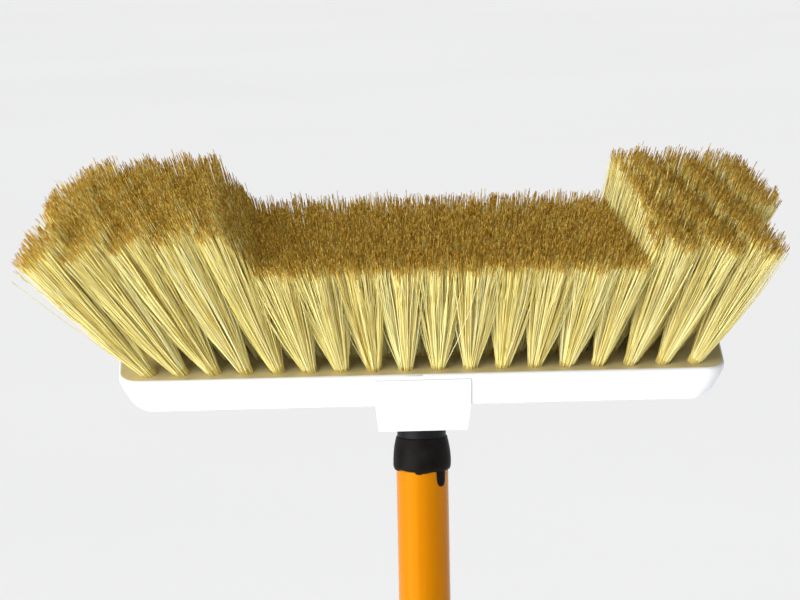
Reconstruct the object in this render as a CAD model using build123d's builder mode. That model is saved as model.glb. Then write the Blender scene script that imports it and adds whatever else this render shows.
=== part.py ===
"""Snow broom: a moulded head filled with seventy flared fibre tufts, screwed onto a long round pole.

Units are millimetres. +Z runs up the pole to the head, +X along the head, and the bristle face
leans towards -Y. The origin is on the pole's axis at the butt end of the tube.
"""
import os
from math import cos, radians, sin, sqrt, tan

from build123d import *

os.makedirs("parts", exist_ok=True)

# Pole: a 1-1/8 in tube
pole_radius = 14.3
pole_wall = 1.5
pole_length = 1200.0
spigot_radius = 14.0

# Threaded tip: a 3/4-5 broom thread above a ribbed shoulder
thread_radius = 9.525
thread_root_radius = 7.2
thread_pitch = 5.08
thread_length = 24.0
thread_crest = 1.9
thread_flank_angle = 14.5
thread_clearance = 0.3
thread_relief = 2.0
thread_lead_in = 0.9
ridge_overlap = 0.2
shoulder_height = 8.0
neck_radius = 13.4
rib_radius = 13.9
rib_height = 1.3
plug_length = 42.0
plug_clearance = 0.05
pin_radius = 2.0
pin_depth = 8.0

# Washer between the shoulder and the socket's mouth
washer_thickness = 1.5
washer_radius = 13.9
washer_bore = 10.4
washer_fillet = 0.5
face_gap = 0.05

# Dipped sleeve over the joint of tip and pole
sleeve_height = 18.5
sleeve_below_mouth = 6.4
sleeve_radius = 15.8
sleeve_neck_radius = 14.4
sleeve_lip = 0.9
sleeve_round = 0.5
sleeve_shoulder_at = 0.42  # shares of the height, from the top
sleeve_belly_at = 0.72

# Head block, measured on its bristle face
block_length = 329.0
block_depth = 70.0
block_height = 19.0
block_corner = 10.0
block_sections = ((0, 0), (5, 0.4), (10, 2.8), (16, 6.4), (block_height, 10.5))  # depth, end inset
side_draft = 0.5
top_fillet = 1.5
bottom_fillet = 1.2
head_tilt = 20.0

# Socket boss under the block
boss_width = 52.0
boss_front_drop = 15.0
boss_back = 14.0
boss_side_taper = 6.6
boss_back_taper = 8.0
boss_stand_proud = 0.7
boss_top_margin = 3.0
boss_reach = 60.0
axis_in_front = 12.2
socket_depth = 26.5

# Tufts: four staggered rows
tuft_pitch = 17.5
row_pitch = 17.3
tufts_in_long_row = 18
row_count = 4
hole_radius = 4.0
hole_depth = 12.0
hole_overshoot = 5.0
root_radius = 3.7
splay_centre = 8.75
splay_left = (0.225, 0.153)  # degrees per mm, in the front and back rows
splay_right = (0.178, 0.160)
flare_rate = 0.205
centre_trim = 70.0
centre_growth = 0.092
raised_growth = 0.068
left_fibre = (104.0, 101.0)  # in the front and back rows
right_fibre = (88.0, 98.0)
left_zone_edge = -65.0
right_zone_edge = 85.0

# Staples
wire = 0.8
staple_span = 7.8
staple_crown_height = 2.2
staple_bite = 2.2

# End cap with its hanging eye
cap_radius = 14.1
cap_flange = 3.0
cap_plug = 26.0
eye_width = 22.0
eye_thickness = 8.0
eye_radius = 4.5
eye_drop = 20.0

# Levels along the pole and the head's own plane
shoulder_top = pole_length + shoulder_height
mouth_level = shoulder_top + washer_thickness + 2 * face_gap
tilt_sin = sin(radians(head_tilt))
tilt_cos = cos(radians(head_tilt))
boss_front = -block_depth / 2 - boss_stand_proud
mouth_below_face = block_height + boss_front_drop - (boss_front + axis_in_front) * tan(radians(head_tilt))
head_plane = Plane(
    origin=(
        0,
        axis_in_front * tilt_cos - mouth_below_face * tilt_sin,
        mouth_level + axis_in_front * tilt_sin + mouth_below_face * tilt_cos,
    ),
    x_dir=(1, 0, 0),
    z_dir=(0, -tilt_sin, tilt_cos),
)
front_plane = Plane(
    origin=head_plane.from_local_coords((0, boss_front, 0)),
    x_dir=(1, 0, 0),
    z_dir=(0, -tilt_cos, -tilt_sin),
)
side_plane = Plane(
    origin=head_plane.origin,
    x_dir=(0, tilt_cos, tilt_sin),
    z_dir=(1, 0, 0),
)
mouth_plane = Plane.XY.offset(mouth_level)
sleeve_top = mouth_level - sleeve_below_mouth
sleeve_bottom = sleeve_top - sleeve_height
head_normal = Axis(head_plane.origin, head_plane.z_dir)


def by_row(front_and_back, row):
    """A value that runs evenly from the front row to the back row."""
    front, back = front_and_back
    return front + (back - front) * row / (row_count - 1)


def row_positions(row):
    """The x of each tuft in a row; every other row is half a pitch over and one tuft shorter."""
    count = tufts_in_long_row - row % 2
    return [(i - (count - 1) / 2) * tuft_pitch for i in range(count)]


def tuft_plane(x, row):
    """The plane at a tuft hole's mouth, with its normal along the fibres."""
    y = (row - (row_count - 1) / 2) * row_pitch
    splay = by_row(splay_left if x < splay_centre else splay_right, row)
    lean = tan(radians(splay * (x - splay_centre)))
    flare = tan(radians(flare_rate * y))
    mouth = head_plane.from_local_coords((x, y, 0))
    ahead = head_plane.from_local_coords((x + lean, y + flare, 1))
    return Plane(origin=mouth, x_dir=(1, 0, 0), z_dir=ahead - mouth)


def zone_of(x):
    """The trim zone that a tuft belongs to."""
    if x < left_zone_edge:
        return "left"
    return "right" if x > right_zone_edge else "centre"


def threaded_rod(root, crest_radius, crest, bottom, top, ridge_start, lead_in):
    """A right-hand trapezoidal thread on its core, from bottom to top, its ridge starting at ridge_start."""
    base = crest + 2 * (crest_radius - root) * tan(radians(thread_flank_angle))
    turns = (top - ridge_start) / thread_pitch + 1
    path = Helix(thread_pitch, turns * thread_pitch, root, center=(0, 0, ridge_start))
    with BuildPart() as envelope:
        with Locations((0, 0, bottom)):
            Cylinder(crest_radius + lead_in, top - bottom, align=(Align.CENTER, Align.CENTER, Align.MIN))
        chamfer(envelope.edges().sort_by(Axis.Z)[-1], 2 * lead_in)
    with BuildPart() as rod:
        with BuildSketch(Plane(origin=path @ 0, x_dir=(1, 0, 0), z_dir=path % 0)):
            with BuildLine():
                Polyline(
                    (-ridge_overlap, -base / 2),
                    (crest_radius - root, -crest / 2),
                    (crest_radius - root, crest / 2),
                    (-ridge_overlap, base / 2),
                    close=True,
                )
            make_face()
        sweep(path=path, is_frenet=True)
        with Locations((0, 0, bottom - thread_pitch)):
            Cylinder(root, top - bottom + 3 * thread_pitch, align=(Align.CENTER, Align.CENTER, Align.MIN))
        add(envelope.part, mode=Mode.INTERSECT)
    return rod.part


# Staples, one U of wire in each hole
staple_rows = []
for row in range(row_count):
    with BuildPart() as staples:
        for x in row_positions(row):
            hole = tuft_plane(x, row)
            side = Plane(origin=hole.origin, x_dir=hole.x_dir, z_dir=-hole.y_dir)
            with BuildSketch(side):
                with Locations((0, staple_crown_height - hole_depth)):
                    Rectangle(staple_span, staple_crown_height + staple_bite, align=(Align.CENTER, Align.MAX))
                with Locations((0, staple_crown_height - hole_depth - wire)):
                    Rectangle(
                        staple_span - 2 * wire,
                        staple_crown_height + staple_bite,
                        align=(Align.CENTER, Align.MAX),
                        mode=Mode.SUBTRACT,
                    )
            extrude(amount=wire / 2, both=True)
    staples.part.label = f"staples_row_{row + 1}"
    export_step(staples.part, f"parts/{staples.part.label}.step")
    staple_rows.append(staples.part)

# Tufts, grouped by row and trim zone
trim_plane = head_plane.offset(centre_trim)
untrimmed = (centre_trim * 1.25, centre_trim * 1.25)
for row in range(row_count):
    for zone in ("left", "centre", "right"):
        planes = [tuft_plane(x, row) for x in row_positions(row) if zone_of(x) == zone]
        growth = centre_growth if zone == "centre" else raised_growth
        length = by_row({"left": left_fibre, "centre": untrimmed, "right": right_fibre}[zone], row)
        with BuildPart() as tufts:
            with Locations(*planes):
                Cylinder(root_radius, hole_depth, align=(Align.CENTER, Align.CENTER, Align.MAX))
                Cone(
                    root_radius,
                    root_radius + growth * length,
                    length,
                    align=(Align.CENTER, Align.CENTER, Align.MIN),
                )
            if zone == "centre":
                split(bisect_by=trim_plane, keep=Keep.BOTTOM)
            add(staple_rows[row], mode=Mode.SUBTRACT)
        tufts.part.label = f"tufts_row_{row + 1}_{zone}"
        export_step(tufts.part, f"parts/{tufts.part.label}.step")

# Threaded tip
ridge_start = shoulder_top + thread_relief
male_thread = threaded_rod(
    thread_root_radius,
    thread_radius,
    thread_crest,
    shoulder_top - rib_height,
    shoulder_top + thread_length,
    ridge_start,
    thread_lead_in,
)
female_thread = threaded_rod(
    thread_root_radius + thread_clearance,
    thread_radius + thread_clearance,
    thread_crest + 2 * thread_clearance,
    mouth_level - thread_pitch,
    mouth_level + socket_depth,
    ridge_start - 2 * thread_pitch,
    thread_clearance,
)

with BuildPart() as tip:
    with Locations((0, 0, pole_length)):
        Cylinder(
            pole_radius - pole_wall - plug_clearance,
            plug_length,
            align=(Align.CENTER, Align.CENTER, Align.MAX),
        )
        Cylinder(neck_radius, shoulder_height, align=(Align.CENTER, Align.CENTER, Align.MIN))
    with Locations((0, 0, shoulder_top)):
        Cylinder(rib_radius, rib_height, align=(Align.CENTER, Align.CENTER, Align.MAX))
    with Locations((0, 0, pole_length)):
        Cylinder(spigot_radius, rib_height, align=(Align.CENTER, Align.CENTER, Align.MIN))
    add(male_thread)
    with Locations((0, 0, pole_length - pin_depth)):
        Cylinder(pin_radius, 3 * pole_radius, rotation=(0, 90, 0), mode=Mode.SUBTRACT)
tip.part.label = "threaded_tip"
export_step(tip.part, "parts/threaded_tip.step")

# Pole tube, turned down a little where it is dipped
with BuildPart() as pole:
    Cylinder(pole_radius, sleeve_bottom, align=(Align.CENTER, Align.CENTER, Align.MIN))
    Cylinder(spigot_radius, pole_length, align=(Align.CENTER, Align.CENTER, Align.MIN))
    Cylinder(
        pole_radius - pole_wall,
        pole_length,
        align=(Align.CENTER, Align.CENTER, Align.MIN),
        mode=Mode.SUBTRACT,
    )
    with Locations((0, 0, pole_length - pin_depth)):
        Cylinder(pin_radius, 3 * pole_radius, rotation=(0, 90, 0), mode=Mode.SUBTRACT)
pole.part.label = "pole_tube"
export_step(pole.part, "parts/pole_tube.step")

# Cross pin that keeps the tip in the tube
with BuildPart() as pin:
    with Locations((0, 0, pole_length - pin_depth)):
        Cylinder(pin_radius, 2 * sqrt(spigot_radius**2 - pin_radius**2), rotation=(0, 90, 0))
pin.part.label = "tip_pin"
export_step(pin.part, "parts/tip_pin.step")

# Washer
with BuildPart() as washer:
    with BuildSketch(Plane.XY.offset(shoulder_top + face_gap)):
        Circle(washer_radius)
        Circle(washer_bore, mode=Mode.SUBTRACT)
    extrude(amount=washer_thickness)
    fillet(washer.edges().filter_by(GeomType.CIRCLE).sort_by(SortBy.RADIUS)[-2:], washer_fillet)
washer.part.label = "friction_washer"
export_step(washer.part, "parts/friction_washer.step")

# Dipped sleeve
with BuildPart() as sleeve:
    with BuildSketch(Plane.XZ):
        with BuildLine():
            outer = Spline(
                (sleeve_neck_radius, sleeve_top - sleeve_round),
                (sleeve_radius - sleeve_round, sleeve_top - sleeve_height * sleeve_shoulder_at),
                (sleeve_radius, sleeve_top - sleeve_height * sleeve_belly_at),
                (pole_radius + sleeve_lip, sleeve_bottom),
                tangents=((0.1, -1), (-0.8, -1)),
            )
            Polyline(
                outer @ 1,
                (spigot_radius, sleeve_bottom),
                (spigot_radius, pole_length + rib_height),
                (neck_radius, pole_length + rib_height),
                (neck_radius, sleeve_top),
                (sleeve_neck_radius - sleeve_round, sleeve_top),
                outer @ 0,
            )
        make_face()
    revolve(axis=Axis.Z)
sleeve.part.label = "dipped_sleeve"
export_step(sleeve.part, "parts/dipped_sleeve.step")

# Head block with its boss, socket and tuft holes
with BuildPart() as boss:
    with BuildSketch(front_plane):
        with BuildLine():
            half = boss_width / 2
            narrow = half - (boss_reach - block_height) * tan(radians(boss_side_taper))
            Polyline(
                (-half, -boss_top_margin),
                (-half, -block_height),
                (-narrow, -boss_reach),
                (narrow, -boss_reach),
                (half, -block_height),
                (half, -boss_top_margin),
                close=True,
            )
        make_face()
    extrude(amount=-block_depth)
    with BuildSketch(side_plane):
        with BuildLine():
            Polyline(
                (boss_front, -boss_top_margin),
                (boss_back, -boss_top_margin),
                (boss_back, -block_height),
                (boss_back - (boss_reach - block_height) * tan(radians(boss_back_taper)), -boss_reach),
                (boss_front, -boss_reach),
                close=True,
            )
        make_face()
    extrude(amount=boss_width, both=True, mode=Mode.INTERSECT)
    split(bisect_by=mouth_plane, keep=Keep.TOP)

hole_planes = [tuft_plane(x, row).offset(hole_overshoot) for row in range(row_count) for x in row_positions(row)]
with BuildPart() as block:
    for depth, inset in block_sections:
        draft = depth * tan(radians(side_draft))
        with BuildSketch(head_plane.offset(-depth)):
            RectangleRounded(block_length - 2 * inset, block_depth - 2 * draft, block_corner - draft)
    loft()
    fillet(block.edges().group_by(head_normal)[-1], top_fillet)
    fillet(block.edges().group_by(head_normal)[0], bottom_fillet)
    add(boss.part)
    add(female_thread, mode=Mode.SUBTRACT)
    with Locations(*hole_planes):
        Cylinder(
            hole_radius,
            hole_depth + hole_overshoot,
            align=(Align.CENTER, Align.CENTER, Align.MAX),
            mode=Mode.SUBTRACT,
        )
    for part in staple_rows:
        add(part, mode=Mode.SUBTRACT)
block.part.label = "head_block"
export_step(block.part, "parts/head_block.step")

# End cap with its hanging eye
with BuildPart() as cap:
    Cylinder(
        pole_radius - pole_wall - plug_clearance,
        cap_plug,
        align=(Align.CENTER, Align.CENTER, Align.MIN),
    )
    Cylinder(cap_radius, cap_flange, align=(Align.CENTER, Align.CENTER, Align.MAX))
    with BuildSketch(Plane.XZ):
        with Locations((0, -eye_drop)):
            Circle(eye_width / 2)
        with Locations((0, -cap_flange / 2)):
            Rectangle(eye_width, eye_drop - cap_flange / 2, align=(Align.CENTER, Align.MAX))
        with Locations((0, -eye_drop)):
            Circle(eye_radius, mode=Mode.SUBTRACT)
    extrude(amount=eye_thickness / 2, both=True)
cap.part.label = "end_cap"
export_step(cap.part, "parts/end_cap.step")
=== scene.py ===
"""Snow broom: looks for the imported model, in metres, in the CAD row's frame."""
from math import cos, pi, radians, sin

import bpy
import numpy as np
from mathutils import Matrix, Vector


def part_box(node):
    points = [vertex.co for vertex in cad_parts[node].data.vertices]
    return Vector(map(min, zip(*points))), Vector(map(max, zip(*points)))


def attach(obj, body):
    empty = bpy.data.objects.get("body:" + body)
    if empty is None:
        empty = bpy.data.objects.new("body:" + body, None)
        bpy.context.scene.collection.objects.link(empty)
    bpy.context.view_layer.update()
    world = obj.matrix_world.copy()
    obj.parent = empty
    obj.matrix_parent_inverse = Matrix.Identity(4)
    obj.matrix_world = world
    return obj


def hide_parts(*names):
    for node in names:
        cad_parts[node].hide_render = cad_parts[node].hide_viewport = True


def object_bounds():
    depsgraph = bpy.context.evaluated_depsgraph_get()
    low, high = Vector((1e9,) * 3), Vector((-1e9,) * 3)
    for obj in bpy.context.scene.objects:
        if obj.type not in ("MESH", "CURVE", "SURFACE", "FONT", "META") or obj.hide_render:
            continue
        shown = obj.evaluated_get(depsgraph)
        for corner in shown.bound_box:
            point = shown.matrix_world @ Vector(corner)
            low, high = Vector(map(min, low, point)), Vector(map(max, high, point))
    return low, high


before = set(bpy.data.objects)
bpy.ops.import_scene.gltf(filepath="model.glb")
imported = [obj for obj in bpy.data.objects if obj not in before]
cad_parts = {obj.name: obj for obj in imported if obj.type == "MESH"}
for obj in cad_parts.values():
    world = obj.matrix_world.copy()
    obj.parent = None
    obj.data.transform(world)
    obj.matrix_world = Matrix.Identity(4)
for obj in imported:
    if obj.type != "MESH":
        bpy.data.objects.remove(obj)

cad_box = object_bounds()
MM = 0.001
rng = np.random.default_rng(4711)

block_low, block_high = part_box("head_block")
head_middle = (block_low + block_high) / 2

# The bristle face leans towards -Y
HEAD_TILT = radians(20.0)
face_normal = np.array([0.0, -sin(HEAD_TILT), cos(HEAD_TILT)])
face_back = np.array([0.0, cos(HEAD_TILT), sin(HEAD_TILT)])
block_points = np.array([v.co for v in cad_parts["head_block"].data.vertices])
face_level = (block_points @ face_normal).max()
face_middle = ((block_points @ face_back).max() + (block_points @ face_back).min()) / 2


def level_of(points):
    """How far points stand above the bristle face."""
    return points @ face_normal - face_level


def depth_of(points):
    """How far points lie behind the bristle face's middle line."""
    return points @ face_back - face_middle


# ---------------------------------------------------------------- materials
def new_material(name, colour, roughness):
    """A Principled material; returns the material, its node tree and the shader."""
    material = bpy.data.materials.new(name)
    material.use_nodes = True
    tree = material.node_tree
    shader = tree.nodes["Principled BSDF"]
    shader.inputs["Base Color"].default_value = (*colour, 1)
    shader.inputs["Roughness"].default_value = roughness
    return material, tree, shader


def noise(tree, scale, detail=3.0, stretch=(1, 1, 1)):
    """Object-space noise, stretched along chosen axes."""
    place = tree.nodes.new("ShaderNodeTexCoord")
    mapping = tree.nodes.new("ShaderNodeMapping")
    mapping.inputs["Scale"].default_value = stretch
    texture = tree.nodes.new("ShaderNodeTexNoise")
    texture.inputs["Scale"].default_value = scale
    texture.inputs["Detail"].default_value = detail
    tree.links.new(place.outputs["Object"], mapping.inputs["Vector"])
    tree.links.new(mapping.outputs["Vector"], texture.inputs["Vector"])
    return texture.outputs["Fac"]


def ramp(tree, factor, stops):
    """A colour ramp over a factor; stops are (position, colour)."""
    node = tree.nodes.new("ShaderNodeValToRGB")
    elements = node.color_ramp.elements
    for element, (at, colour) in zip(elements, (stops[0], stops[-1])):
        element.position = at
        element.color = (*colour, 1)
    for at, colour in stops[1:-1]:
        element = elements.new(at)
        element.color = (*colour, 1)
    tree.links.new(factor, node.inputs["Fac"])
    return node.outputs["Color"]


def rescale(tree, value, source, target):
    """Maps a value from one range to another, clamped at both ends."""
    node = tree.nodes.new("ShaderNodeMapRange")
    for name, end in zip(("From Min", "From Max", "To Min", "To Max"), (*source, *target)):
        node.inputs[name].default_value = end
    tree.links.new(value, node.inputs["Value"])
    return node.outputs["Result"]


def spread(tree, factor, low, high):
    """Maps a 0 to 1 factor to a range."""
    return rescale(tree, factor, (0, 1), (low, high))


def along_face_normal(tree, vector):
    """The component of a vector along the bristle face's normal."""
    node = tree.nodes.new("ShaderNodeVectorMath")
    node.operation = "DOT_PRODUCT"
    node.inputs[1].default_value = face_normal
    tree.links.new(vector, node.inputs[0])
    return node.outputs["Value"]


def bump(tree, shader, height, strength, distance):
    """Bumps a shader's surface by a height."""
    node = tree.nodes.new("ShaderNodeBump")
    node.inputs["Strength"].default_value = strength
    node.inputs["Distance"].default_value = distance
    tree.links.new(height, node.inputs["Height"])
    tree.links.new(node.outputs["Normal"], shader.inputs["Normal"])


def white_plastic():
    """Satin moulded plastic, with the bristle face alone painted tan: painted shade and painted
    fibre-bounced light under the tufts.
    """
    material, tree, shader = new_material("white_block_plastic", (0.76, 0.77, 0.80), 0.42)
    cloud = noise(tree, 18.0, 2.0)
    unshaded_white = ramp(tree, cloud, [(0.3, (0.74, 0.75, 0.79)), (0.7, (0.78, 0.79, 0.82))])
    # Painted shade: a tan noise colour on the bristle face stands in for the fibres' shadow and the
    # yellow light they bounce onto it
    painted_face_shade = ramp(tree, noise(tree, 60.0, 5.0), [(0.3, (0.56, 0.46, 0.23)), (0.7, (0.70, 0.62, 0.38))])
    place = tree.nodes.new("ShaderNodeTexCoord")
    facing = rescale(tree, along_face_normal(tree, place.outputs["Normal"]), (0.9, 0.99), (0, 1))
    height = along_face_normal(tree, place.outputs["Object"])
    at_face = rescale(tree, height, (face_level - 1.0 * MM, face_level - 0.4 * MM), (0, 1))
    shaded_face = tree.nodes.new("ShaderNodeMath")
    shaded_face.operation = "MULTIPLY"
    tree.links.new(facing, shaded_face.inputs[0])
    tree.links.new(at_face, shaded_face.inputs[1])
    # Mixes the painted shade in where the surface faces along the bristle face's normal, at the face's
    # level
    painted_shade_mix = tree.nodes.new("ShaderNodeMix")
    painted_shade_mix.data_type = "RGBA"
    tree.links.new(shaded_face.outputs["Value"], painted_shade_mix.inputs["Factor"])
    tree.links.new(unshaded_white, painted_shade_mix.inputs["A"])
    tree.links.new(painted_face_shade, painted_shade_mix.inputs["B"])
    tree.links.new(painted_shade_mix.outputs["Result"], shader.inputs["Base Color"])
    tree.links.new(spread(tree, cloud, 0.36, 0.5), shader.inputs["Roughness"])
    bump(tree, shader, noise(tree, 900.0, 4.0), 0.12, 0.0002)
    return material


def pole_lacquer():
    """Orange-yellow gloss paint with faint lengthwise streaks."""
    material, tree, shader = new_material("pole_lacquer", (0.57, 0.19, 0.002), 0.2)
    streak = noise(tree, 60.0, 4.0, (1, 1, 0.03))
    stops = [(0.25, (0.50, 0.155, 0.001)), (0.55, (0.57, 0.19, 0.002)), (0.8, (0.62, 0.225, 0.003))]
    colour = ramp(tree, streak, stops)
    tree.links.new(colour, shader.inputs["Base Color"])
    tree.links.new(spread(tree, noise(tree, 25.0), 0.12, 0.26), shader.inputs["Roughness"])
    bump(tree, shader, noise(tree, 420.0, 3.0, (1, 1, 0.15)), 0.06, 0.0002)
    shader.inputs["Specular Tint"].default_value = (1.0, 0.6, 0.05, 1)
    shader.inputs["Specular IOR Level"].default_value = 0.28
    return material


def dipped_rubber():
    """Near-black dipped coating, matt in patches and finely pitted."""
    material, tree, shader = new_material("dipped_rubber", (0.012, 0.011, 0.010), 0.45)
    patch = noise(tree, 120.0, 4.0)
    colour = ramp(tree, patch, [(0.35, (0.004, 0.0035, 0.003)), (0.7, (0.010, 0.009, 0.008))])
    tree.links.new(colour, shader.inputs["Base Color"])
    tree.links.new(spread(tree, patch, 0.3, 0.6), shader.inputs["Roughness"])
    bump(tree, shader, noise(tree, 260.0, 5.0), 0.35, 0.0006)
    shader.inputs["Specular IOR Level"].default_value = 0.06
    return material


def black_moulding(name, roughness, grain):
    """Black plastic or rubber with a fine mould grain."""
    material, tree, shader = new_material(name, (0.008, 0.008, 0.009), roughness)
    patch = noise(tree, grain)
    colour = ramp(tree, patch, [(0.3, (0.006, 0.006, 0.007)), (0.7, (0.011, 0.011, 0.012))])
    tree.links.new(colour, shader.inputs["Base Color"])
    tree.links.new(spread(tree, patch, roughness - 0.08, roughness + 0.1), shader.inputs["Roughness"])
    bump(tree, shader, noise(tree, grain * 6), 0.2, 0.0002)
    shader.inputs["Specular IOR Level"].default_value = 0.12
    return material


def drawn_steel():
    """Drawn wire and pin stock."""
    material, tree, shader = new_material("drawn_steel", (0.55, 0.55, 0.57), 0.35)
    shader.inputs["Metallic"].default_value = 1.0
    streak = noise(tree, 1400.0, 2.0, (1, 1, 0.1))
    colour = ramp(tree, streak, [(0.3, (0.45, 0.45, 0.47)), (0.7, (0.62, 0.62, 0.64))])
    tree.links.new(colour, shader.inputs["Base Color"])
    tree.links.new(spread(tree, streak, 0.25, 0.45), shader.inputs["Roughness"])
    return material


def fibre_shade(name, colour, roughness):
    """One shade of fibre; a piece mixes several, fibre by fibre."""
    material, tree, shader = new_material(name, colour, roughness)
    patch = spread(tree, noise(tree, 700.0), roughness - 0.12, roughness + 0.12)
    tree.links.new(patch, shader.inputs["Roughness"])
    return material


# The colours along a fibre, from the root: neck, shaft, tan part and cut tip
NECKS = ((0.82, 0.69, 0.22), (0.72, 0.56, 0.15))
SHAFTS = (
    (0.92, 0.80, 0.27),
    (0.95, 0.87, 0.37),
    (0.84, 0.69, 0.19),
    (0.97, 0.92, 0.49),
    (0.66, 0.47, 0.11),
)
SHAFT_SHARES = (0.32, 0.28, 0.17, 0.16, 0.07)
TANS = ((0.58, 0.37, 0.03), (0.70, 0.48, 0.07), (0.45, 0.26, 0.015))
TIPS = ((0.41, 0.22, 0.012), (0.52, 0.31, 0.025), (0.29, 0.14, 0.006), (0.68, 0.47, 0.09))
SHADE_GROUPS = (("shaft", SHAFTS, 0.5), ("neck", NECKS, 0.6), ("tan", TANS, 0.6), ("tip", TIPS, 0.7))
fibre_shades = [
    fibre_shade(f"fibre_{part}_{number}", colour, roughness)
    for part, colours, roughness in SHADE_GROUPS
    for number, colour in enumerate(colours, 1)
]
FIRST_NECK = len(SHAFTS)
FIRST_TAN = FIRST_NECK + len(NECKS)
FIRST_TIP = FIRST_TAN + len(TANS)


# ---------------------------------------------------------------- meshes
def new_piece(name, vertices, faces, materials, material_index=None):
    """A smooth-shaded mesh object from arrays of vertices and of same-sided faces."""
    mesh = bpy.data.meshes.new(name)
    sizes = np.concatenate([np.full(len(f), f.shape[1]) for f in faces])
    corners = np.concatenate([f.ravel() for f in faces])
    mesh.vertices.add(len(vertices))
    mesh.vertices.foreach_set("co", vertices.astype(np.float32).ravel())
    mesh.loops.add(len(corners))
    mesh.loops.foreach_set("vertex_index", corners.astype(np.int32))
    mesh.polygons.add(len(sizes))
    mesh.polygons.foreach_set("loop_start", (np.cumsum(sizes) - sizes).astype(np.int32))
    mesh.polygons.foreach_set("use_smooth", np.ones(len(sizes), bool))
    for material in materials:
        mesh.materials.append(material)
    if material_index is not None:
        mesh.polygons.foreach_set("material_index", material_index.astype(np.int32))
    mesh.update(calc_edges=True)
    mesh.validate()
    piece = bpy.data.objects.new(name, mesh)
    bpy.context.scene.collection.objects.link(piece)
    return piece


# A tuft's side faces lie between these levels, and their normals are turned further from the
# bristle face's normal than its end's is
SIDE_BAND = (8 * MM, 60 * MM)
END_FACING = 0.62
WELD = 1e-6


def solids_of(node):
    """The corner points of each solid in a tuft node, and the normals of its side above the hole."""
    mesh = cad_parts[node].data
    points = np.array([v.co for v in mesh.vertices])
    _, first, same = np.unique(np.round(points / WELD), axis=0, return_index=True, return_inverse=True)
    same = same.ravel()
    owner = list(range(len(first)))

    def find(i):
        while owner[i] != i:
            owner[i] = owner[owner[i]]
            i = owner[i]
        return i

    for edge in mesh.edges:
        owner[find(same[edge.vertices[0]])] = find(same[edge.vertices[1]])
    labels = np.array([find(i) for i in same])
    normals = np.array([face.normal for face in mesh.polygons])
    levels = level_of(np.array([face.center for face in mesh.polygons]))
    side = (levels > SIDE_BAND[0]) & (levels < SIDE_BAND[1]) & (normals @ face_normal < END_FACING)
    face_labels = labels[[face.vertices[0] for face in mesh.polygons]]
    solids = np.unique(labels)
    return [(points[labels == solid], normals[side & (face_labels == solid)]) for solid in solids]


def unit(vector):
    """A vector scaled to length one."""
    return vector / np.linalg.norm(vector)


# ---------------------------------------------------------------- fibres
FIBRES_PER_TUFT = 340

# One fibre: its radius at both ends, how deep it starts in the hole, where its rings lie as shares
# of its height, and the lengths of its tan part and cut tip
ROOT_SIZE = 0.27 * MM
TIP_SIZE = 0.19 * MM
SIZE_RANGE = (0.75, 1.25)
SUNK = 6 * MM
SHAFT_RINGS = (0.03, 0.3, 0.62)
TAN_LENGTH = 4 * MM
TAN_RANGE = (0.6, 1.5)
TIP_LENGTH = 1.6 * MM

# How a tuft opens: its fibres fill a disc at the hole's mouth, and at the CAD cone's end a disc
# SPILL times as wide as the cone. FLARE_LENGTH sets how soon they part. The fibres on the outer
# side of the raised tufts are combed in
ROOT_RADIUS = 3.7 * MM
SPILL = 1.55
FLARE_LENGTH = 62 * MM
END_COMBING = 0.7
GOLDEN_ANGLE = pi * (3 - 5**0.5)
TURN_NOISE = 0.25
OUT_NOISE = 0.03

# How far fibres leave their own line: all of them drift and bow, a few drift more, and a few are
# wild hairs
DRIFT = 2 * MM
DRIFT_POWER = 1.4
LOOSE_SHARE = 0.03
LOOSE_TIMES = 3.0
BOW = 1.1 * MM
WILD_SHARE = 0.012
WILD = 6 * MM

# The brush's two ends, where longer fibres are pulled back to. The left one slants with depth
LEFT_END = block_low.x - 42.3 * MM
LEFT_END_PER_DEPTH = 0.33
RIGHT_END = block_high.x + 32.3 * MM
PULL_POWER = 1.5

# The trim: level in the middle, up a slope to the left end, and up a leaning wall at the right.
# Single fibres are cut unevenly, and more often short than long
CENTRE_TRIM = 70 * MM
SLOPE_FOOT = block_low.x + 76.7 * MM
SLOPE_RISE = 1.2
WALL_FOOT = block_high.x - 54.2 * MM
WALL_PER_DEPTH = -0.243
WALL_LEAN = 0.36
TRIM_ROUNDS = 6
CUT_NOISE = 1.2 * MM
CUT_SHORT = 0.7 * MM


def trim_level(zone, tips):
    """How high above the face the brush is trimmed at each fibre's tip."""
    if zone == "left":
        return CENTRE_TRIM + SLOPE_RISE * np.clip(SLOPE_FOOT - tips[:, 0], 0, None)
    if zone == "right":
        wall = WALL_FOOT + WALL_PER_DEPTH * depth_of(tips) + WALL_LEAN * (level_of(tips) - CENTRE_TRIM)
        return np.where(tips[:, 0] < wall, CENTRE_TRIM, 2 * CENTRE_TRIM)
    return np.full(len(tips), CENTRE_TRIM)


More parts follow.
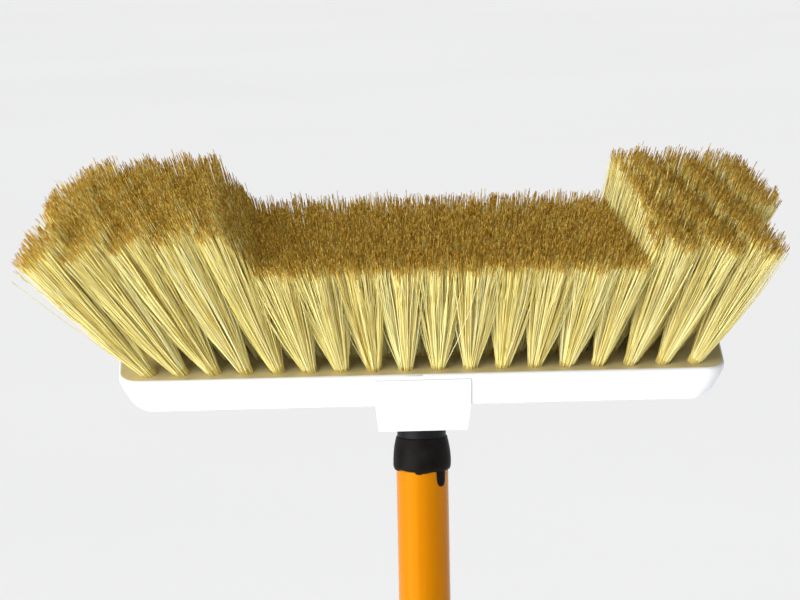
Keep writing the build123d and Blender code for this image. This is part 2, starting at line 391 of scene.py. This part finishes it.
def tuft_fibres(points, side_normals, zone):
    """The ring centres of a tuft's fibres, by fibre, ring and xyz, and two directions across it."""
    near_mouth = points[abs(level_of(points)) < 0.5 * MM]
    mouth = (near_mouth.max(0) + near_mouth.min(0)) / 2
    axis = np.linalg.eigh(np.cov(side_normals.T))[1][:, 0]
    axis = axis * np.sign(axis @ face_normal)
    length = ((points - mouth) @ axis).max()
    growth = np.tan(-np.arcsin((side_normals @ axis).mean()))
    tip_radius = SPILL * (ROOT_RADIUS + growth * length)
    across = unit(np.cross(axis, (0.0, 1.0, 0.0)))
    beyond = np.cross(axis, across)
    count = FIBRES_PER_TUFT

    def scatter():
        """A random step across the tuft for each fibre."""
        return rng.normal(0, 1, (count, 1)) * across + rng.normal(0, 1, (count, 1)) * beyond

    turn = np.arange(count) * GOLDEN_ANGLE + rng.normal(0, TURN_NOISE, count)
    out = np.sqrt((np.arange(count) + 0.5) / count) + rng.normal(0, OUT_NOISE, count)
    outward = out[:, None] * (np.cos(turn)[:, None] * across + np.sin(turn)[:, None] * beyond)
    if zone != "centre":
        outward[:, 0] *= np.where(outward[:, 0] * mouth[0] > 0, END_COMBING, 1)
    loose = np.where(rng.random(count) < LOOSE_SHARE, LOOSE_TIMES, 1.0)[:, None]
    drift = scatter() * DRIFT * loose
    bow = scatter() * BOW
    wild = np.where(rng.random(count) < WILD_SHARE, WILD, 0)[:, None]
    stray = scatter() * wild

    def path(shares, pull):
        """The points at some shares of the tuft's length along each fibre, its tip pulled along X."""
        above = np.clip(shares, 0, None)
        grown = 1 - np.clip(1 - above, 0, 1) ** (length / FLARE_LENGTH)
        radius = ROOT_RADIUS + (tip_radius - ROOT_RADIUS) * grown
        places = mouth + axis * length * shares[:, :, None] + outward[:, None] * radius[:, :, None]
        places += drift[:, None] * above[:, :, None] ** DRIFT_POWER + stray[:, None] * above[:, :, None]
        places += bow[:, None] * np.sin(pi * np.clip(above, 0, 1))[:, :, None]
        places[:, :, 0] += pull[:, None] * above**PULL_POWER
        return places

    ends = path(np.ones((count, 1)), np.zeros(count))[:, 0]
    left_end = LEFT_END + LEFT_END_PER_DEPTH * depth_of(ends)
    pull = np.clip(left_end - ends[:, 0], 0, None) + np.clip(RIGHT_END - ends[:, 0], None, 0)
    reach = np.ones(count)
    for _ in range(TRIM_ROUNDS):
        tips = path(reach[:, None], pull)[:, 0]
        reach = reach * np.clip(trim_level(zone, tips) / level_of(tips), 0, 1)
    reach = reach + (rng.normal(0, CUT_NOISE, count) - rng.exponential(CUT_SHORT, count)) / length
    tan_length = TAN_LENGTH / length * rng.uniform(*TAN_RANGE, count)
    rings = [np.full(count, -SUNK / length)]
    rings += [share * reach for share in SHAFT_RINGS]
    rings += [reach - tan_length, reach - tan_length * TIP_LENGTH / TAN_LENGTH, reach]
    return path(np.stack(rings, axis=1), pull), across, beyond


def fibre_piece(node):
    """The fibres of all the tufts in one CAD node, as three-sided tapered tubes that replace it."""
    all_points, all_quads, all_ends, quad_shades, end_shades = [], [], [], [], []
    start = 0
    zone = node.split("_")[-1]
    for solid, side_normals in solids_of(node):
        centres, across, beyond = tuft_fibres(solid, side_normals, zone)
        fibres, rings = centres.shape[:2]
        size = np.linspace(ROOT_SIZE, TIP_SIZE, rings) * rng.uniform(*SIZE_RANGE, (fibres, 1))
        twist = rng.uniform(0, 2 * pi, fibres)
        sides = []
        for side in range(3):
            angle = (twist + side * 2 * pi / 3)[:, None, None]
            sides.append(centres + size[:, :, None] * (np.cos(angle) * across + np.sin(angle) * beyond))
        points = np.stack(sides, axis=2)
        index = start + np.arange(fibres * rings * 3).reshape(fibres, rings, 3)
        start += index.size
        following = np.roll(index, -1, axis=2)
        quads = np.stack([index[:, :-1], following[:, :-1], following[:, 1:], index[:, 1:]], axis=-1)
        shaft = rng.choice(len(SHAFTS), fibres, p=SHAFT_SHARES)
        neck = FIRST_NECK + rng.integers(len(NECKS), size=fibres)
        tan_part = FIRST_TAN + rng.integers(len(TANS), size=fibres)
        tip = FIRST_TIP + rng.integers(len(TIPS), size=fibres)
        shades = np.stack([neck, shaft, shaft, shaft, tan_part, tip], axis=1)
        all_points.append(points.reshape(-1, 3))
        all_quads.append(quads.reshape(-1, 4))
        all_ends.append(index[:, -1])
        quad_shades.append(np.repeat(shades, 3, axis=1).ravel())
        end_shades.append(tip)
    piece = new_piece(
        node.replace("tufts", "fibres"),
        np.concatenate(all_points),
        [np.concatenate(all_quads), np.concatenate(all_ends)],
        fibre_shades,
        np.concatenate(quad_shades + end_shades),
    )
    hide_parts(node)
    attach(piece, "head")


for node in sorted(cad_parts):
    if node.startswith("tufts"):
        fibre_piece(node)


# ---------------------------------------------------------------- dipped sleeve
sleeve_low, sleeve_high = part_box("dipped_sleeve")
pole_low, pole_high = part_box("pole_tube")
POLE_RADIUS = pole_high.x
SLEEVE_RADIUS = (sleeve_high.x - sleeve_low.x) / 2
SLEEVE_TOP_RADIUS = 14.0 * MM
BELLY_AT = 0.75
ROLLED_FROM = 0.84
AROUND = 144
DOWN = 30

# How far the coat's edges and the runs reach into what they lie on
TOP_EDGE_SUNK = 0.7 * MM
LOW_EDGE_SUNK = 0.2 * MM
RUN_SUNK = 0.15 * MM

# Lumps on the coat, and waves in its lower edge: height in mm, waves around and down, phase
LUMPS = ((0.10, 3, 7, 0), (0.07, 7, -4, 1))
EDGE_WAVES = ((0.35, 2, 0, 0.6), (0.28, 5, 0, 2.0), (0.2, 9, 0, 1.0))

# The runs: place in degrees from the front towards +X, then width, drop and thickness in mm
RUNS = ((44, 6.6, 8.6, 1.1), (-9, 5.5, 1.2, 0.9))
RUN_STEPS = 20
RUN_RIBS = 14
RUN_OVERLAP = 3 * MM
RUN_TIP_FROM = 0.62


def waves(table, angle, down):
    """The sum of a table of waves, in metres."""
    return sum(height * np.sin(n * angle + m * down + phase) for height, n, m, phase in table) * MM


def round_pole(angle, radius, height):
    """Points at an angle from the front towards +X, a radius and a height."""
    angle, radius, height = np.broadcast_arrays(angle, radius, height)
    return np.stack([radius * np.sin(angle), -radius * np.cos(angle), height], axis=-1)


def sleeve_body():
    """The dipped coat: a profile from its top inner edge to its bottom one, taken round the pole."""
    angle = np.linspace(0, 2 * pi, AROUND, endpoint=False)[:, None]
    down = np.linspace(0, 1, DOWN)[None, :]
    belly = 1 - (1 - down / BELLY_AT) ** 2 * (down < BELLY_AT)
    rolled = np.clip(down - ROLLED_FROM, 0, None) / (1 - ROLLED_FROM)
    coat = (SLEEVE_RADIUS - SLEEVE_TOP_RADIUS) * belly + SLEEVE_TOP_RADIUS - POLE_RADIUS
    lumps = waves(LUMPS, angle, down) * down
    radius = POLE_RADIUS + coat * np.sqrt(np.clip(1 - rolled**2, 0, 1)) + lumps
    top = np.full((AROUND, 1), sleeve_high.z)
    bottom = sleeve_low.z - waves(EDGE_WAVES, angle, 1.0)
    inside_top = np.full((AROUND, 1), SLEEVE_TOP_RADIUS - TOP_EDGE_SUNK)
    inside_bottom = np.full((AROUND, 1), POLE_RADIUS - LOW_EDGE_SUNK)
    radius = np.concatenate([inside_top, radius, inside_bottom], axis=1)
    height = np.concatenate([top, top + (bottom - top) * down, bottom], axis=1)
    points = round_pole(angle, radius, height)
    index = np.arange(radius.size).reshape(radius.shape)
    following = np.roll(index, -1, axis=0)
    quads = np.stack([index[:, :-1], index[:, 1:], following[:, 1:], following[:, :-1]], axis=-1)
    return points.reshape(-1, 3), quads.reshape(-1, 4)


def run(turn, width, drop, thickness):
    """A run of the coating that hangs below the sleeve on the pole: a teardrop bent round the tube."""
    along = np.linspace(0, 1, RUN_STEPS)[:, None]
    over = np.linspace(-1, 1, RUN_RIBS)[None, :]
    tip = np.clip((along - RUN_TIP_FROM) / (1 - RUN_TIP_FROM), 0, 1)
    half = width / 2 * np.sqrt(1 - tip**2) * (1 + 0.35 * (1 - along) ** 3)
    height = sleeve_low.z + RUN_OVERLAP - (drop + RUN_OVERLAP) * along
    fullness = (0.7 + 0.5 * along) * np.sqrt(np.clip(half / width * 2, 0, 1))
    radius = POLE_RADIUS - RUN_SUNK + np.sqrt(1 - over**2) * thickness * fullness
    points = round_pole(turn + over * half / POLE_RADIUS, radius, height)
    index = np.arange(RUN_STEPS * RUN_RIBS).reshape(RUN_STEPS, RUN_RIBS)
    quads = np.stack([index[:-1, :-1], index[1:, :-1], index[1:, 1:], index[:-1, 1:]], axis=-1)
    return points.reshape(-1, 3), quads.reshape(-1, 4)


def dipped_sleeve_piece():
    """The sleeve and its runs as one piece."""
    parts = [sleeve_body()]
    for turn, width, drop, thickness in RUNS:
        parts.append(run(radians(turn), width * MM, drop * MM, thickness * MM))
    points, quads = [], []
    start = 0
    for part_points, part_quads in parts:
        points.append(part_points)
        quads.append(part_quads + start)
        start += len(part_points)
    rubber = dipped_rubber()
    piece = new_piece("dipped_coating", np.concatenate(points), [np.concatenate(quads)], [rubber])
    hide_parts("dipped_sleeve")
    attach(piece, "pole")


dipped_sleeve_piece()


# ---------------------------------------------------------------- CAD nodes
steel = drawn_steel()
moulded = black_moulding("black_nylon", 0.4, 160.0)
finishes = {
    "head_block": white_plastic(),
    "pole_tube": pole_lacquer(),
    "threaded_tip": moulded,
    "end_cap": moulded,
    "friction_washer": black_moulding("washer_rubber", 0.6, 300.0),
    "tip_pin": steel,
}
for row in range(1, 5):
    finishes[f"staples_row_{row}"] = steel
for node, material in finishes.items():
    for material_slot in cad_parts[node].material_slots:
        material_slot.material = material


# ---------------------------------------------------------------- floor, light, camera
FLOOR_HALF = 45.0
floor_corners = np.array([[-1, -1, 0], [1, -1, 0], [1, 1, 0], [-1, 1, 0]]) * FLOOR_HALF
floor_corners = floor_corners + np.array([0, 0, cad_box[0].z])
floor_material, floor_tree, floor_shader = new_material("pale_floor", (0.93, 0.93, 0.93), 0.9)
floor_stops = [(0.3, (0.92, 0.92, 0.92)), (0.7, (0.94, 0.94, 0.94))]
floor_colour = ramp(floor_tree, noise(floor_tree, 0.4), floor_stops)
floor_tree.links.new(floor_colour, floor_shader.inputs["Base Color"])
floor = new_piece("floor", floor_corners, [np.array([[0, 1, 2, 3]])], [floor_material])

# The world's strength falls from the first value to the second as the direction's Z rises
# through this range
SKY_HEIGHTS = (0.07, 0.25)
SKY_STRENGTHS = (0.88, 0.2)
world = bpy.data.worlds.new("studio")
world.use_nodes = True
sky = world.node_tree.nodes["Background"]
sky.inputs["Color"].default_value = (0.98, 0.99, 1.0, 1)
direction = world.node_tree.nodes.new("ShaderNodeTexCoord")
split = world.node_tree.nodes.new("ShaderNodeSeparateXYZ")
world.node_tree.links.new(direction.outputs["Generated"], split.inputs["Vector"])
strength = rescale(world.node_tree, split.outputs["Z"], SKY_HEIGHTS, SKY_STRENGTHS)
world.node_tree.links.new(strength, sky.inputs["Strength"])
bpy.context.scene.world = world
bpy.context.scene.view_settings.view_transform = "Standard"


def new_lamp(name, kind, energy, offset):
    """A lamp at an offset from the head's middle, aimed at it."""
    lamp = bpy.data.objects.new(name, bpy.data.lights.new(name, kind))
    lamp.data.energy = energy
    lamp.visible_camera = False
    lamp.location = head_middle + Vector(offset)
    lamp.rotation_euler = (-Vector(offset)).to_track_quat("-Z", "Y").to_euler()
    bpy.context.scene.collection.objects.link(lamp)
    return lamp


softbox = new_lamp("softbox_left", "AREA", 74.0, (-1.75, -1.4, 0.0))
softbox.data.shape = "RECTANGLE"
softbox.data.size = 2.2
softbox.data.size_y = 2.8

overhead = new_lamp("overhead", "SUN", 2.3, (-0.3, 0.3, 2.0))
overhead.data.angle = radians(40)

# The camera is a little above the head, turned and rolled slightly
AZIMUTH = radians(-1.966)
ELEVATION = radians(6.626)
ROLL = radians(-1.127)
DISTANCE = 2.4534
LENS = 201.2
target = head_middle + Vector((-10.45, -0.1, 41.29)) * MM
back = Vector((sin(AZIMUTH) * cos(ELEVATION), -cos(AZIMUTH) * cos(ELEVATION), sin(ELEVATION)))
level_right = Vector((cos(AZIMUTH), sin(AZIMUTH), 0))
level_up = back.cross(level_right)
right = cos(ROLL) * level_right + sin(ROLL) * level_up
up = cos(ROLL) * level_up - sin(ROLL) * level_right
turned = Matrix((right, up, back)).transposed().to_4x4()
camera = bpy.data.objects.new("camera", bpy.data.cameras.new("camera"))
camera.data.lens = LENS
camera.data.sensor_width = 36.0
camera.matrix_world = Matrix.Translation(target + back * DISTANCE) @ turned
bpy.context.scene.collection.objects.link(camera)
bpy.context.scene.camera = camera
